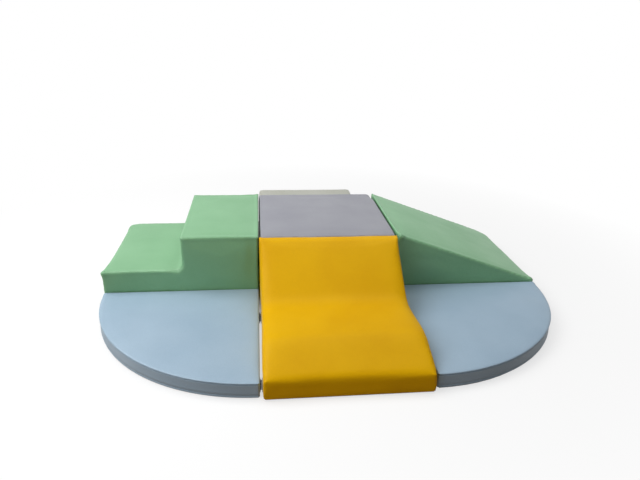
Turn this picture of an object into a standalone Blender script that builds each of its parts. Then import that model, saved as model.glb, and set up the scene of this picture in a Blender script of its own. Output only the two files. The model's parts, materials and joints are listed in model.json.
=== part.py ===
"""Soft play set: a padded square platform with two steps, a ramp, a wave slide and a low rear
step on its four sides, and two quarter-round mats that fill the front corners.

Each module is a foam block in a sewn leatherette cover with a non-slip base and a zip, and
hook-and-loop strips hold its walls to its neighbours. Metres, +Z up. The origin is on the
floor under the middle of the platform, with the slide towards -Y and the steps towards -X.
"""

import math

import bmesh
import bpy
from mathutils import Matrix, Vector

# Driving dimensions of the modules
PLATFORM_SIDE = 0.450
PLATFORM_HEIGHT = 0.235
MODULE_GAP = 0.007
ARM_LENGTH = 0.500
MAT_THICKNESS = 0.046
LOWER_TREAD_HEIGHT = 0.120
UPPER_TREAD_LENGTH = 0.246
RAMP_END_HEIGHT = 0.056
SLIDE_OVERHANG = 0.014
SLIDE_END_HEIGHT = 0.058
SLIDE_CREST_LENGTH = 0.026
SLIDE_CREST_RADIUS = 0.034
SLIDE_DIP_HEIGHT = 0.105
SLIDE_DIP_RADIUS = 0.070
SLIDE_HUMP_HEIGHT = 0.109
SLIDE_HUMP_RADIUS = 0.120
REAR_STEP_HEIGHT = 0.100

# The slide's dip and hump, as shares of its length out from the platform
SLIDE_DIP_SHARE = 0.407
SLIDE_HUMP_SHARE = 0.763

# Covers, foam and bases
COVER_THICKNESS = 0.0012
BASE_THICKNESS = 0.0012
FIT_GAP = 0.0003
HEM_WIDTH = 0.014
EDGE_RADIUS = 0.014
CORNER_RADIUS = 0.010
FOOT_RADIUS = 0.006
RISER_RADIUS = 0.012
MAT_EDGE_RADIUS = 0.009
MAT_CORNER_RADIUS = 0.005
PLATFORM_CROWN = 0.005
TREAD_CROWN = 0.004
RAMP_CROWN = 0.007
SLIDE_CROWN = 0.004
MAT_CROWN = 0.004
WALL_DRAW_IN = 0.005
LEAN_DEPTH = 0.070

# Where a stuffed cover is divided, as shares of a panel's length and of its walls' lean depth
PANEL_CUT_SHARES = (0.15, 0.38, 0.62, 0.85)
WALL_ROW_SHARES = (0.47, 1.0)

# Steps of the arcs, and the angles that tell walls and edges apart
ARC_STEPS = 4
MAT_ARC_STEPS = 20
MAT_CUT_STEPS = (4, 8, 12, 16)
EDGE_STEPS = 2
WALL_TILT = math.radians(20)
SHARP_ANGLE = math.radians(40)
SMOOTH_ANGLE = math.radians(50)

# How fast a mat's crown levels off from its three edges
MAT_CROWN_GAIN = 16

# Hook-and-loop strips
LONG_STRIP_WIDTH = 0.050
LONG_STRIP_HEIGHT = 0.125
LONG_STRIP_MARGIN = 0.065
REAR_STRIP_HEIGHT = 0.034
SHORT_STRIP_WIDTH = 0.025
SHORT_STRIP_MARGIN = 0.001
INNER_STRIP_PLACE = 0.140
TIP_STRIP_INSET = 0.011
STRIP_CHAMFER = 0.0006

# Zips
ZIP_MARGIN = 0.055
ZIP_CLEARANCE = 0.012
ZIP_HEIGHT = 0.038
PLATFORM_ZIP_HEIGHT = 0.075
TAPE_WIDTH = 0.022
TAPE_THICKNESS = 0.0007
CHAIN_WIDTH = 0.006
CHAIN_HEIGHT = 0.0022
CHAIN_CHAMFER = 0.0007
CHAIN_END = 0.006
CHAIN_STOP = 0.003
CHAIN_STOP_HEIGHT = 0.0002
SLIT_WIDTH = 0.004
SLIT_MARGIN = 0.012
SLIDER_LENGTH = 0.013
SLIDER_NOSE = 0.003
SLIDER_FLANGE = 0.0022
SLIDER_ROOF = 0.0010
BRIDGE_WIDTH = 0.0030
BRIDGE_HEIGHT = 0.0009
BRIDGE_FOOT = 0.0002
CUT_OVERRUN = 0.004

HALF_SIDE = PLATFORM_SIDE / 2
ARM_START = HALF_SIDE + MODULE_GAP
SLIDE_LENGTH = ARM_LENGTH + SLIDE_OVERHANG
FOOT_HEIGHT = BASE_THICKNESS + FIT_GAP
FOAM_INSET = COVER_THICKNESS + FIT_GAP
STRIP_THICKNESS = (MODULE_GAP - 3 * FIT_GAP) / 2

# The flat band of a mat's wall, between its rounded foot and its rounded top edge
MAT_WALL_LOW = FOOT_HEIGHT + FOOT_RADIUS
MAT_WALL_HIGH = MAT_THICKNESS - MAT_EDGE_RADIUS
MAT_WALL_MIDDLE = (MAT_WALL_LOW + MAT_WALL_HIGH) / 2
SHORT_STRIP_HEIGHT = MAT_WALL_HIGH - MAT_WALL_LOW - 2 * SHORT_STRIP_MARGIN
TIP_STRIP_PLACE = ARM_LENGTH - TIP_STRIP_INSET - SHORT_STRIP_WIDTH / 2


# Colours and materials

def linear(hex_colour):
    """The linear RGBA of an sRGB hex colour."""
    channels = [int(hex_colour[i:i + 2], 16) / 255 for i in (0, 2, 4)]
    return [c / 12.92 if c <= 0.04045 else ((c + 0.055) / 1.055) ** 2.4 for c in channels] + [1]


def material(name, hex_colour, roughness, metallic=0):
    """A plain finish of one colour."""
    made = bpy.data.materials.new(name)
    made.use_nodes = True
    shader = made.node_tree.nodes["Principled BSDF"]
    shader.inputs["Base Color"].default_value = linear(hex_colour)
    shader.inputs["Roughness"].default_value = roughness
    shader.inputs["Metallic"].default_value = metallic
    made.diffuse_color = linear(hex_colour)
    return made


# Outlines, as counter-clockwise corners

def rectangle(middle, length, width, z=0):
    """Corners of a rectangle along X, with its middle on the X axis."""
    signs = ((-1, -1), (1, -1), (1, 1), (-1, 1))
    return [(middle + s * length / 2, t * width / 2, z) for s, t in signs]


def inset_corners(corners, inset):
    """The corners with each side of the outline moved in by inset."""
    moved = []
    for i, corner in enumerate(corners):
        here = Vector(corner)
        before = (here - Vector(corners[i - 1])).normalized()
        after = (Vector(corners[(i + 1) % len(corners)]) - here).normalized()
        inward = Vector((-before.y - after.y, before.x + after.x))
        moved.append(here + inward * (inset / (1 + before.dot(after))))
    return moved


def round_corners(corners, radii, inset):
    """Points of the outline with arcs at its corners, for an outline that was moved in."""
    points = []
    for i, corner in enumerate(corners):
        if not radii[i]:
            points.append(corner)
            continue
        to_before = corners[i - 1] - corner
        to_after = corners[(i + 1) % len(corners)] - corner
        a, b = to_before.normalized(), to_after.normalized()
        hollow = (-a).x * b.y - (-a).y * b.x < 0
        radius = radii[i] + inset if hollow else radii[i] - inset
        half_angle = a.angle(b) / 2
        reach = min(radius / math.tan(half_angle), to_before.length / 2, to_after.length / 2)
        radius = reach * math.tan(half_angle)
        middle = corner + (a + b).normalized() * (radius / math.sin(half_angle))
        start = corner + a * reach - middle
        turn = start.angle_signed(corner + b * reach - middle)
        for step in range(ARC_STEPS + 1):
            angle = -turn * step / ARC_STEPS
            points.append(middle + Matrix.Rotation(angle, 2) @ start)
    return points


def block_outline(length, height):
    """A plain block's side, with a radius for each corner as every side outline has."""
    return [(0, FOOT_HEIGHT), (length, FOOT_HEIGHT), (length, height), (0, height)], [0] * 4


def ramp_outline():
    corners = [(0, FOOT_HEIGHT), (ARM_LENGTH, FOOT_HEIGHT), (ARM_LENGTH, RAMP_END_HEIGHT),
               (0, PLATFORM_HEIGHT)]
    return corners, [0] * len(corners)


def steps_outline():
    """Two treads, with a small radius where the cover turns up from the lower one."""
    corners = [(0, FOOT_HEIGHT), (ARM_LENGTH, FOOT_HEIGHT), (ARM_LENGTH, LOWER_TREAD_HEIGHT),
               (UPPER_TREAD_LENGTH, LOWER_TREAD_HEIGHT), (UPPER_TREAD_LENGTH, PLATFORM_HEIGHT),
               (0, PLATFORM_HEIGHT)]
    return corners, [0, 0, 0, RISER_RADIUS, 0, 0]


def slide_outline():
    """Over a short crest, down to a dip, over a low hump and down to the blunt end."""
    corners = [(0, FOOT_HEIGHT), (SLIDE_LENGTH, FOOT_HEIGHT), (SLIDE_LENGTH, SLIDE_END_HEIGHT),
               (SLIDE_HUMP_SHARE * SLIDE_LENGTH, SLIDE_HUMP_HEIGHT),
               (SLIDE_DIP_SHARE * SLIDE_LENGTH, SLIDE_DIP_HEIGHT),
               (SLIDE_CREST_LENGTH, PLATFORM_HEIGHT), (0, PLATFORM_HEIGHT)]
    return corners, [0, 0, 0, SLIDE_HUMP_RADIUS, SLIDE_DIP_RADIUS, SLIDE_CREST_RADIUS, 0]


def quarter_outline(inset):
    """A quarter disc whose inner corner is at the origin, with each side moved in by inset."""
    radius = ARM_LENGTH - inset
    first = math.asin(inset / radius)
    last = math.pi / 2 - first
    angles = [first + (last - first) * step / MAT_ARC_STEPS for step in range(MAT_ARC_STEPS + 1)]
    return [Vector((inset, inset))] + [radius * Vector((math.cos(a), math.sin(a))) for a in angles]


# Stuffed blocks: an extruded outline, cut into a grid, crowned and drawn in

def extruded(points, depth):
    """A mesh of the outline of 3-D points, drawn out along the vector depth."""
    bm = bmesh.new()
    face = bm.faces.new([bm.verts.new(point) for point in points])
    drawn = bmesh.ops.extrude_face_region(bm, geom=[face])["geom"]
    bmesh.ops.translate(bm, vec=depth, verts=[v for v in drawn if isinstance(v, bmesh.types.BMVert)])
    bmesh.ops.recalc_face_normals(bm, faces=bm.faces)
    return bm


def cut(bm, axis, places, only=lambda face: True):
    """Cut the chosen faces along planes square to the axis."""
    normal = Vector([float(i == axis) for i in range(3)])
    for place in places:
        faces = [face for face in bm.faces if only(face)]
        edges = {edge for face in faces for edge in face.edges}
        verts = {vert for face in faces for vert in face.verts}
        bmesh.ops.bisect_plane(bm, geom=faces + list(edges) + list(verts), dist=FIT_GAP,
                               plane_co=normal * place, plane_no=normal)


def is_wall(face):
    return abs(face.normal.z) < math.sin(WALL_TILT)


def is_floor(face):
    return face.normal.z < -math.cos(SHARP_ANGLE)


def top_at(corners, place):
    """The height of the outline's upper side at a place along it."""
    heights = []
    for a, b in zip(corners, corners[1:] + corners[:1]):
        low, high = min(a[0], b[0]), max(a[0], b[0])
        if low - FIT_GAP <= place <= high + FIT_GAP:
            share = (place - a[0]) / (b[0] - a[0]) if b[0] != a[0] else 1
            heights.append(a[1] + (b[1] - a[1]) * min(max(share, 0), 1))
    return max(heights)


def stuff(bm, corners, panels, crown, inset):
    """Crown each top panel and lean the walls in between their corners, as a filled cover does."""
    length = max(corner[0] for corner in corners)
    for vert in bm.verts:
        x, y, z = vert.co
        start, end = next(panel for panel in panels if x <= panel[1] or panel is panels[-1])
        along = min(max(2 * (x - start) / (end - start) - 1, -1), 1)
        ends = 2 * x / length - 1
        across = y / HALF_SIDE
        depth = top_at(corners, min(max(x, 0), length)) - inset - z
        rise = min(max(1 - depth / LEAN_DEPTH, 0), 1) ** 2
        vert.co.z += crown * (1 - along ** 2) * (1 - across ** 2) * rise
        vert.co.y -= WALL_DRAW_IN * across * (1 - along ** 2) * rise
        vert.co.x -= WALL_DRAW_IN * ends * (1 - across ** 2) * rise


def weigh_edges(bm, edge, corner, inset):
    """Give each sharp edge the share of the top edge's radius that its place on the block takes."""
    weights = bm.edges.layers.float.new("bevel_weight_edge")
    lowest = min(vert.co.z for vert in bm.verts)
    ends = min(vert.co.x for vert in bm.verts), max(vert.co.x for vert in bm.verts)
    for line in bm.edges:
        if len(line.link_faces) < 2 or line.calc_face_angle() < SHARP_ANGLE:
            continue
        a, b = (vert.co for vert in line.verts)
        if max(a.z, b.z) < lowest + FIT_GAP:
            radius = FOOT_RADIUS
        elif abs(a.x - b.x) < FIT_GAP > abs(a.y - b.y) and min(abs(a.x - x) for x in ends) < FIT_GAP:
            radius = corner
        else:
            radius = edge
        line[weights] = (radius - inset) / EDGE_RADIUS


def open_floor(bm):
    """Leave only a hem of the floor, all round, for the base to close."""
    floor = bmesh.ops.dissolve_faces(bm, faces=[f for f in bm.faces if is_floor(f)])["region"]
    bmesh.ops.inset_region(bm, faces=floor, thickness=HEM_WIDTH, use_even_offset=True)
    bmesh.ops.delete(bm, geom=floor, context="FACES")


def shaped_block(corners, radii, panels, crown, inset):
    """The stuffed solid of a side outline, as wide as the platform, moved in by inset."""
    inner = inset_corners(corners, inset)
    outline = round_corners(inner, radii, inset)
    half = HALF_SIDE - inset
    bm = extruded([(p[0], -half, p[1]) for p in outline], Vector((0, 2 * half, 0)))
    top = max(corner[1] for corner in corners)
    for start, end in panels:
        cut(bm, 0, [start + (end - start) * share for share in PANEL_CUT_SHARES])
    cut(bm, 0, [start - inset for start, end in panels[1:]])
    cut(bm, 1, [PLATFORM_SIDE * (share - 0.5) for share in PANEL_CUT_SHARES])
    cut(bm, 2, [top - LEAN_DEPTH * share for share in WALL_ROW_SHARES], only=is_wall)
    weigh_edges(bm, EDGE_RADIUS, CORNER_RADIUS, inset)
    stuff(bm, corners, panels, crown, inset)
    return bm


def shaped_mat(inset):
    """The stuffed solid of a quarter-round mat, moved in by inset."""
    outline = quarter_outline(inset)
    foot = FOOT_HEIGHT + inset
    bm = extruded([(p.x, p.y, foot) for p in outline], Vector((0, 0, MAT_THICKNESS - inset - foot)))
    for step in MAT_CUT_STEPS:
        cut(bm, 0, [outline[1 + step].x])
        cut(bm, 1, [outline[1 + step].y])
    weigh_edges(bm, MAT_EDGE_RADIUS, MAT_CORNER_RADIUS, inset)
    for vert in bm.verts:
        x, y = max(vert.co.x / ARM_LENGTH, 0), max(vert.co.y / ARM_LENGTH, 0)
        inside = max(1 - x * x - y * y, 0)
        if vert.co.z > MAT_WALL_HIGH:
            vert.co.z += MAT_CROWN * min(MAT_CROWN_GAIN * x * y * inside, 1)
    return bm


# Objects

def add_object(name, bm, finish, parent=None):
    mesh = bpy.data.meshes.new(name)
    bm.to_mesh(mesh)
    bm.free()
    if finish:
        mesh.materials.append(finish)
    made = bpy.data.objects.new(name, mesh)
    bpy.context.scene.collection.objects.link(made)
    made.parent = parent
    return made


def smooth(thing):
    thing.data.shade_smooth()
    thing.data.set_sharp_from_angle(angle=SMOOTH_ANGLE)


def round_edges(thing):
    bevel = thing.modifiers.new("rounded edges", "BEVEL")
    bevel.limit_method = "WEIGHT"
    bevel.width = EDGE_RADIUS
    bevel.segments = EDGE_STEPS
    facets = thing.modifiers.new("like facets on foam and cover", "TRIANGULATE")
    facets.quad_method = "FIXED"
    facets.ngon_method = "BEAUTY"


def place_empty(name, x, y, turn):
    made = bpy.data.objects.new(name, None)
    bpy.context.scene.collection.objects.link(made)
    made.location = (x, y, 0)
    made.rotation_euler.z = turn
    return made


def seat_on_wall(thing, place, foot, along, outward):
    """Stand a piece on a wall: its X runs along the wall and its Z points out of it."""
    along, outward = Vector(along), Vector(outward)
    turn = Matrix((along, outward.cross(along), outward)).transposed().to_4x4()
    thing.parent = place
    thing.matrix_local = Matrix.Translation(Vector(foot) + outward * FIT_GAP) @ turn


def foam_and_cover(name, place, finish, make):
    """The foam block and the cover over it; make(inset) gives the block's mesh."""
    foam = add_object(f"{name}_foam", make(FOAM_INSET), foam_finish, place)
    round_edges(foam)
    smooth(foam)
    skin = make(0)
    open_floor(skin)
    cover = add_object(f"{name}_cover", skin, finish, place)
    round_edges(cover)
    wall = cover.modifiers.new("leatherette", "SOLIDIFY")
    wall.thickness = COVER_THICKNESS
    wall.offset = -1
    wall.use_even_offset = True
    smooth(cover)
    return cover


def base(name, place, outline):
    """The non-slip base on the floor under the cover's hem."""
    bm = extruded([(p[0], p[1], 0) for p in outline], Vector((0, 0, BASE_THICKNESS)))
    return add_object(f"{name}_base", bm, base_finish, place)


def strip(name, place, foot, along, outward, length, width, finish):
    """One hook or loop strip, sewn flat on a wall."""
    sheet = extruded(rectangle(0, length, width), Vector((0, 0, STRIP_THICKNESS)))
    made = add_object(name, sheet, finish)
    bevel = made.modifiers.new("soft edge", "BEVEL")
    bevel.width = STRIP_CHAMFER
    bevel.segments = 1
    seat_on_wall(made, place, foot, along, outward)
    return made


def lofted(sections):
    """A solid through closed sections, each (place along X, points in YZ)."""
    bm = bmesh.new()
    rings = [[bm.verts.new((x, y, z)) for y, z in points] for x, points in sections]
    for first, second in zip(rings, rings[1:]):
        for i in range(len(first)):
            j = (i + 1) % len(first)
            bm.faces.new((first[i], first[j], second[j], second[i]))
    bm.faces.new(rings[0])
    bm.faces.new(rings[-1])
    bmesh.ops.recalc_face_normals(bm, faces=bm.faces)
    return bm


def chain_section(height):
    """The tape with its chain standing up by height in the middle."""
    tape, chain, top = TAPE_WIDTH / 2, CHAIN_WIDTH / 2, TAPE_THICKNESS + height
    bevel = min(CHAIN_CHAMFER, height / 2)
    right = [(tape, 0), (tape, TAPE_THICKNESS), (chain, TAPE_THICKNESS), (chain, top - bevel),
             (chain - bevel, top)]
    return right + [(-y, z) for y, z in right[::-1]]


def slider_section(bridge):
    """A channel over the chain, with a bridge of the given height on its roof."""
    inner, low = CHAIN_WIDTH / 2 + FIT_GAP, TAPE_THICKNESS + FIT_GAP
    outer, ceiling = inner + SLIDER_FLANGE, TAPE_THICKNESS + CHAIN_HEIGHT + FIT_GAP
    roof, half = ceiling + SLIDER_ROOF, BRIDGE_WIDTH / 2
    right = [(inner, ceiling), (inner, low), (outer, low), (outer, roof), (half, roof),
             (half, roof + bridge)]
    return right + [(-y, z) for y, z in right[::-1]]


def zip_fastener(name, place, cover, foot, along, outward, length):
    """A tape and chain over a slit in the cover, and the slider that runs on the chain."""
    half = length / 2
    stop, teeth = chain_section(CHAIN_STOP_HEIGHT), chain_section(CHAIN_HEIGHT)
    tape = lofted([(-half, stop), (-half + CHAIN_STOP, stop), (-half + CHAIN_END, teeth),
                   (half - CHAIN_END, teeth), (half - CHAIN_STOP, stop), (half, stop)])
    chain = add_object(f"{name}_zip", tape, zip_finish)
    seat_on_wall(chain, place, foot, along, outward)

    reach = SLIDER_LENGTH / 2
    nose, middle = slider_section(BRIDGE_FOOT), slider_section(BRIDGE_HEIGHT)
    body = lofted([(-reach, nose), (-reach + SLIDER_NOSE, middle), (reach - SLIDER_NOSE, middle),
                   (reach, nose)])
    slider = add_object(f"{name}_zip_slider", body, slider_finish)
    start = Vector(foot) + Vector(along) * (-half + CHAIN_END + reach)
    seat_on_wall(slider, place, start, along, outward)

    slit = rectangle(0, length - 2 * SLIT_MARGIN, SLIT_WIDTH, -CUT_OVERRUN)
    cutter = add_object(f"{name}_slit", extruded(slit, Vector((0, 0, 2 * CUT_OVERRUN))), None)
    seat_on_wall(cutter, place, foot, along, outward)
    cutter.hide_render = True
    cutter.display_type = "WIRE"
    opening = cover.modifiers.new("zip slit", "BOOLEAN")
    opening.operation = "DIFFERENCE"
    opening.object = cutter


# Clear the scene, then make the finishes

for old in list(bpy.data.objects):
    bpy.data.objects.remove(old)

mint_finish = material("mint_leatherette", "8FC79A", 0.45)
grey_finish = material("grey_leatherette", "A3A3AC", 0.45)
yellow_finish = material("yellow_leatherette", "E3B616", 0.42)
blue_finish = material("blue_leatherette", "9FB6CB", 0.45)
cream_finish = material("cream_leatherette", "BFC0B4", 0.45)
foam_finish = material("polyurethane_foam", "E8E3CF", 0.95)
base_finish = material("non_slip_fabric", "3A3B3D", 0.9)
hook_finish = material("hook_strip", "151516", 0.8)
loop_finish = material("loop_strip", "1D1D1F", 0.95)
zip_finish = material("zip_tape", "232426", 0.8)
slider_finish = material("zip_slider_metal", "8C8F93", 0.35, 1)


# Arms: blocks that start at the platform's edge and run out from it along their own +X

def arm(name, turn, outline, panels, crown, finish, strip_height=LONG_STRIP_HEIGHT):
    """The hook strip is on the wall at the platform, and so is the zip, unless the strip is low."""
    corners, radii = outline
    place = place_empty(f"{name}_place", ARM_START * math.cos(turn), ARM_START * math.sin(turn), turn)
    length = panels[-1][1]
    cover = foam_and_cover(name, place, finish,
                           lambda inset: shaped_block(corners, radii, panels, crown, inset))
    base(name, place,
         rectangle(length / 2, length - 2 * FOOT_RADIUS, PLATFORM_SIDE - 2 * FOOT_RADIUS))
    strip(f"{name}_hook_strip", place, (0, 0, strip_height), (0, 1, 0), (-1, 0, 0),
          PLATFORM_SIDE - 2 * LONG_STRIP_MARGIN, LONG_STRIP_WIDTH, hook_finish)
    low_strip = strip_height - LONG_STRIP_WIDTH / 2 < ZIP_HEIGHT + TAPE_WIDTH / 2
    end, outward = (length, (1, 0, 0)) if low_strip else (0, (-1, 0, 0))
    zip_fastener(name, place, cover, (end, 0, ZIP_HEIGHT), (0, 1, 0), outward,
                 PLATFORM_SIDE - 2 * ZIP_MARGIN)
    return place


steps_place = arm("steps", math.pi, steps_outline(),
                  [(0, UPPER_TREAD_LENGTH), (UPPER_TREAD_LENGTH, ARM_LENGTH)], TREAD_CROWN, mint_finish)
ramp_place = arm("ramp", 0, ramp_outline(), [(0, ARM_LENGTH)], RAMP_CROWN, mint_finish)
slide_place = arm("slide", -math.pi / 2, slide_outline(), [(0, SLIDE_LENGTH)], SLIDE_CROWN,
                  yellow_finish)
rear_step_place = arm("rear_step", math.pi / 2, block_outline(ARM_LENGTH, REAR_STEP_HEIGHT),
                      [(0, ARM_LENGTH)], TREAD_CROWN, cream_finish, REAR_STRIP_HEIGHT)


# Platform: a square block in the middle, with a loop strip on each wall for an arm

platform_place = place_empty("platform_place", -HALF_SIDE, 0, 0)
platform_cover = foam_and_cover(
    "platform", platform_place, grey_finish,
    lambda inset: shaped_block(*block_outline(PLATFORM_SIDE, PLATFORM_HEIGHT), [(0, PLATFORM_SIDE)],
                               PLATFORM_CROWN, inset))
base("platform", platform_place,
     rectangle(HALF_SIDE, PLATFORM_SIDE - 2 * FOOT_RADIUS, PLATFORM_SIDE - 2 * FOOT_RADIUS))
zip_fastener("platform", platform_place, platform_cover, (HALF_SIDE, HALF_SIDE, PLATFORM_ZIP_HEIGHT),
             (1, 0, 0), (0, 1, 0), PLATFORM_SIDE - 2 * ZIP_MARGIN)
for name, outward, height in (("steps", (-1, 0, 0), LONG_STRIP_HEIGHT),
                              ("ramp", (1, 0, 0), LONG_STRIP_HEIGHT),
                              ("slide", (0, -1, 0), LONG_STRIP_HEIGHT),
                              ("rear_step", (0, 1, 0), REAR_STRIP_HEIGHT)):
    wall = Vector((HALF_SIDE, 0, height)) + HALF_SIDE * Vector(outward)
    strip(f"platform_loop_strip_{name}", platform_place, wall, (outward[1], outward[0], 0), outward,
          PLATFORM_SIDE - 2 * LONG_STRIP_MARGIN, LONG_STRIP_WIDTH, loop_finish)


# Mats: quarter discs whose inner corners lie in the corners between the slide and its neighbours

def mat(name, x, y, turn, zip_wall):
    place = place_empty(f"{name}_place", x, y, turn)
    cover = foam_and_cover(name, place, blue_finish, shaped_mat)
    base(name, place, quarter_outline(FOOT_RADIUS))
    along, outward = zip_wall
    clear = SHORT_STRIP_WIDTH / 2 + ZIP_CLEARANCE
    first, last = INNER_STRIP_PLACE + clear, TIP_STRIP_PLACE - clear
    foot = Vector(along) * (first + last) / 2 + Vector((0, 0, MAT_WALL_MIDDLE))
    zip_fastener(name, place, cover, foot, along, outward, last - first)
    return place


X_WALL = ((1, 0, 0), (0, -1, 0))
Y_WALL = ((0, 1, 0), (-1, 0, 0))
left_mat_place = mat("left_mat", -ARM_START, -ARM_START, math.pi, X_WALL)
right_mat_place = mat("right_mat", ARM_START, -ARM_START, -math.pi / 2, Y_WALL)


def strip_pair(name, place, along, outward, wall, finish):
    """Two short strips on a wall: one near the mat's inner corner and one near its tip."""
    for spot, distance in (("inner", INNER_STRIP_PLACE), ("tip", TIP_STRIP_PLACE)):
        foot = Vector(along) * distance + Vector(outward) * wall + Vector((0, 0, MAT_WALL_MIDDLE))
        strip(f"{name}_{spot}", place, foot, along, outward, SHORT_STRIP_WIDTH, SHORT_STRIP_HEIGHT,
              finish)


strip_pair("left_mat_hook_steps", left_mat_place, *X_WALL, 0, hook_finish)
strip_pair("left_mat_hook_slide", left_mat_place, *Y_WALL, 0, hook_finish)
strip_pair("right_mat_hook_ramp", right_mat_place, *Y_WALL, 0, hook_finish)
strip_pair("right_mat_hook_slide", right_mat_place, *X_WALL, 0, hook_finish)
strip_pair("steps_loop_left_mat", steps_place, (1, 0, 0), (0, 1, 0), HALF_SIDE, loop_finish)
strip_pair("ramp_loop_right_mat", ramp_place, (1, 0, 0), (0, -1, 0), HALF_SIDE, loop_finish)
strip_pair("slide_loop_left_mat", slide_place, (1, 0, 0), (0, -1, 0), HALF_SIDE, loop_finish)
strip_pair("slide_loop_right_mat", slide_place, (1, 0, 0), (0, 1, 0), HALF_SIDE, loop_finish)
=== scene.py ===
import json
import math

import bmesh
import bpy
import numpy as np
from mathutils import Matrix, Vector, noise
from mathutils.bvhtree import BVHTree


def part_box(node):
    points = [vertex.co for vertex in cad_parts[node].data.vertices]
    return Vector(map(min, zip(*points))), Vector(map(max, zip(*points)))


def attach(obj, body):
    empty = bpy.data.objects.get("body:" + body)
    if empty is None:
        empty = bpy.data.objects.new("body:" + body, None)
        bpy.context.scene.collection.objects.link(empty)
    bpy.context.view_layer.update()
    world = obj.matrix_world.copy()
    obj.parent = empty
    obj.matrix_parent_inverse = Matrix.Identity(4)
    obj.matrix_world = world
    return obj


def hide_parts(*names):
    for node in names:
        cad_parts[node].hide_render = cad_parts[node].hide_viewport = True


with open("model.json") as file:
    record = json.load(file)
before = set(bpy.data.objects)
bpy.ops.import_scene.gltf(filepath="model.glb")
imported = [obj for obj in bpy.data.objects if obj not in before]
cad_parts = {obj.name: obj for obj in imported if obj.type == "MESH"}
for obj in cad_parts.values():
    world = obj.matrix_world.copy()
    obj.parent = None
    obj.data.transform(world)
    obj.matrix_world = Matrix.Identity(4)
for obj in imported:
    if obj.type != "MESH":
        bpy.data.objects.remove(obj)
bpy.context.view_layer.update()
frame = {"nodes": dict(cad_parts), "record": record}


# Platform: a square foam block in a cover of grey leatherette, which is PVC on a knitted backing.
# The cover is two side panels sewn to one band that wraps the block, with a hem folded under the
# foot. Its foam fills it tight, so the top is only slightly crowned.

def linear(hex_colour):
    """The linear RGBA of an sRGB hex colour."""
    channels = [int(hex_colour[i:i + 2], 16) / 255 for i in (0, 2, 4)]
    return [c / 12.92 if c <= 0.04045 else ((c + 0.055) / 1.055) ** 2.4 for c in channels] + [1]


def add(tree, kind, inputs={}, **settings):
    """Add a node with its settings, and give each input a value or a socket to follow."""
    made = tree.nodes.new(kind)
    for name, value in settings.items():
        setattr(made, name, value)
    for name, value in inputs.items():
        if isinstance(value, bpy.types.NodeSocket):
            tree.links.new(value, made.inputs[name])
        else:
            made.inputs[name].default_value = value
    return made


def new_material(name):
    """A material, its node tree, its Principled shader and the object's own coordinates."""
    made = bpy.data.materials.new(name)
    made.use_nodes = True
    tree = made.node_tree
    place = add(tree, "ShaderNodeTexCoord").outputs["Object"]
    return made, tree, tree.nodes["Principled BSDF"], place


GRAIN = 0.0024           # the pressed grain, about 0.8 mm wide, drawn three times as coarse
GRAIN_DEPTH = 0.00006
CREASE = 0.045           # the soft unevenness of foam under its cover
CREASE_DEPTH = 0.0006
TINT_PATCH = 1 / 6       # the tint and the gloss wander a little over about 170 mm


def leatherette(name, colour, deep, roughness, shine=0.25):
    """PVC leatherette: satin, with a fine pressed grain whose pits are darkened with painted shade.
    """
    made, tree, shader, place = new_material(name)
    warp = add(tree, "ShaderNodeTexNoise", {"Vector": place, "Scale": 0.3 / GRAIN, "Detail": 2})
    bent = add(tree, "ShaderNodeMixRGB", {0: 0.0015, 1: place, 2: warp.outputs["Color"]},
               blend_type="ADD")
    cells = add(tree, "ShaderNodeTexVoronoi", {"Vector": bent.outputs[0], "Scale": 1 / GRAIN},
                feature="DISTANCE_TO_EDGE")
    pits = add(tree, "ShaderNodeMapRange", {0: cells.outputs["Distance"], 1: 0, 2: 0.22})
    broad = add(tree, "ShaderNodeTexNoise", {"Vector": place, "Scale": 1 / CREASE, "Detail": 3})
    cloudy = add(tree, "ShaderNodeTexNoise",
                 {"Vector": place, "Scale": 1 / TINT_PATCH, "Detail": 4})
    tint = add(tree, "ShaderNodeMapRange", {0: cloudy.outputs[0], 1: 0.3, 2: 0.7})
    shade = add(tree, "ShaderNodeMixRGB", {0: tint.outputs[0], 1: linear(colour), 2: linear(deep)})
    # Painted shade: the pits of the grain, the low points of its bump, are darkened to nine tenths
    # of the colour.
    pit_shade = add(tree, "ShaderNodeMapRange", {0: pits.outputs[0], 3: 0.9, 4: 1.0})
    final = add(tree, "ShaderNodeMixRGB", {0: 1, 1: shade.outputs[0], 2: pit_shade.outputs[0]},
                blend_type="MULTIPLY")
    gloss = add(tree, "ShaderNodeMapRange",
                {0: cloudy.outputs[0], 1: 0.3, 2: 0.7, 3: roughness - 0.04, 4: roughness + 0.05})
    swell = add(tree, "ShaderNodeBump",
                {"Height": broad.outputs[0], "Distance": CREASE_DEPTH, "Strength": 0.5})
    grain = add(tree, "ShaderNodeBump",
                {"Height": pits.outputs[0], "Distance": GRAIN_DEPTH, "Strength": 0.6,
                 "Normal": swell.outputs[0]})
    tree.links.new(final.outputs[0], shader.inputs["Base Color"])
    tree.links.new(gloss.outputs[0], shader.inputs["Roughness"])
    tree.links.new(grain.outputs[0], shader.inputs["Normal"])
    shader.inputs["IOR"].default_value = 1.5
    shader.inputs["Specular IOR Level"].default_value = shine
    return made


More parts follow.
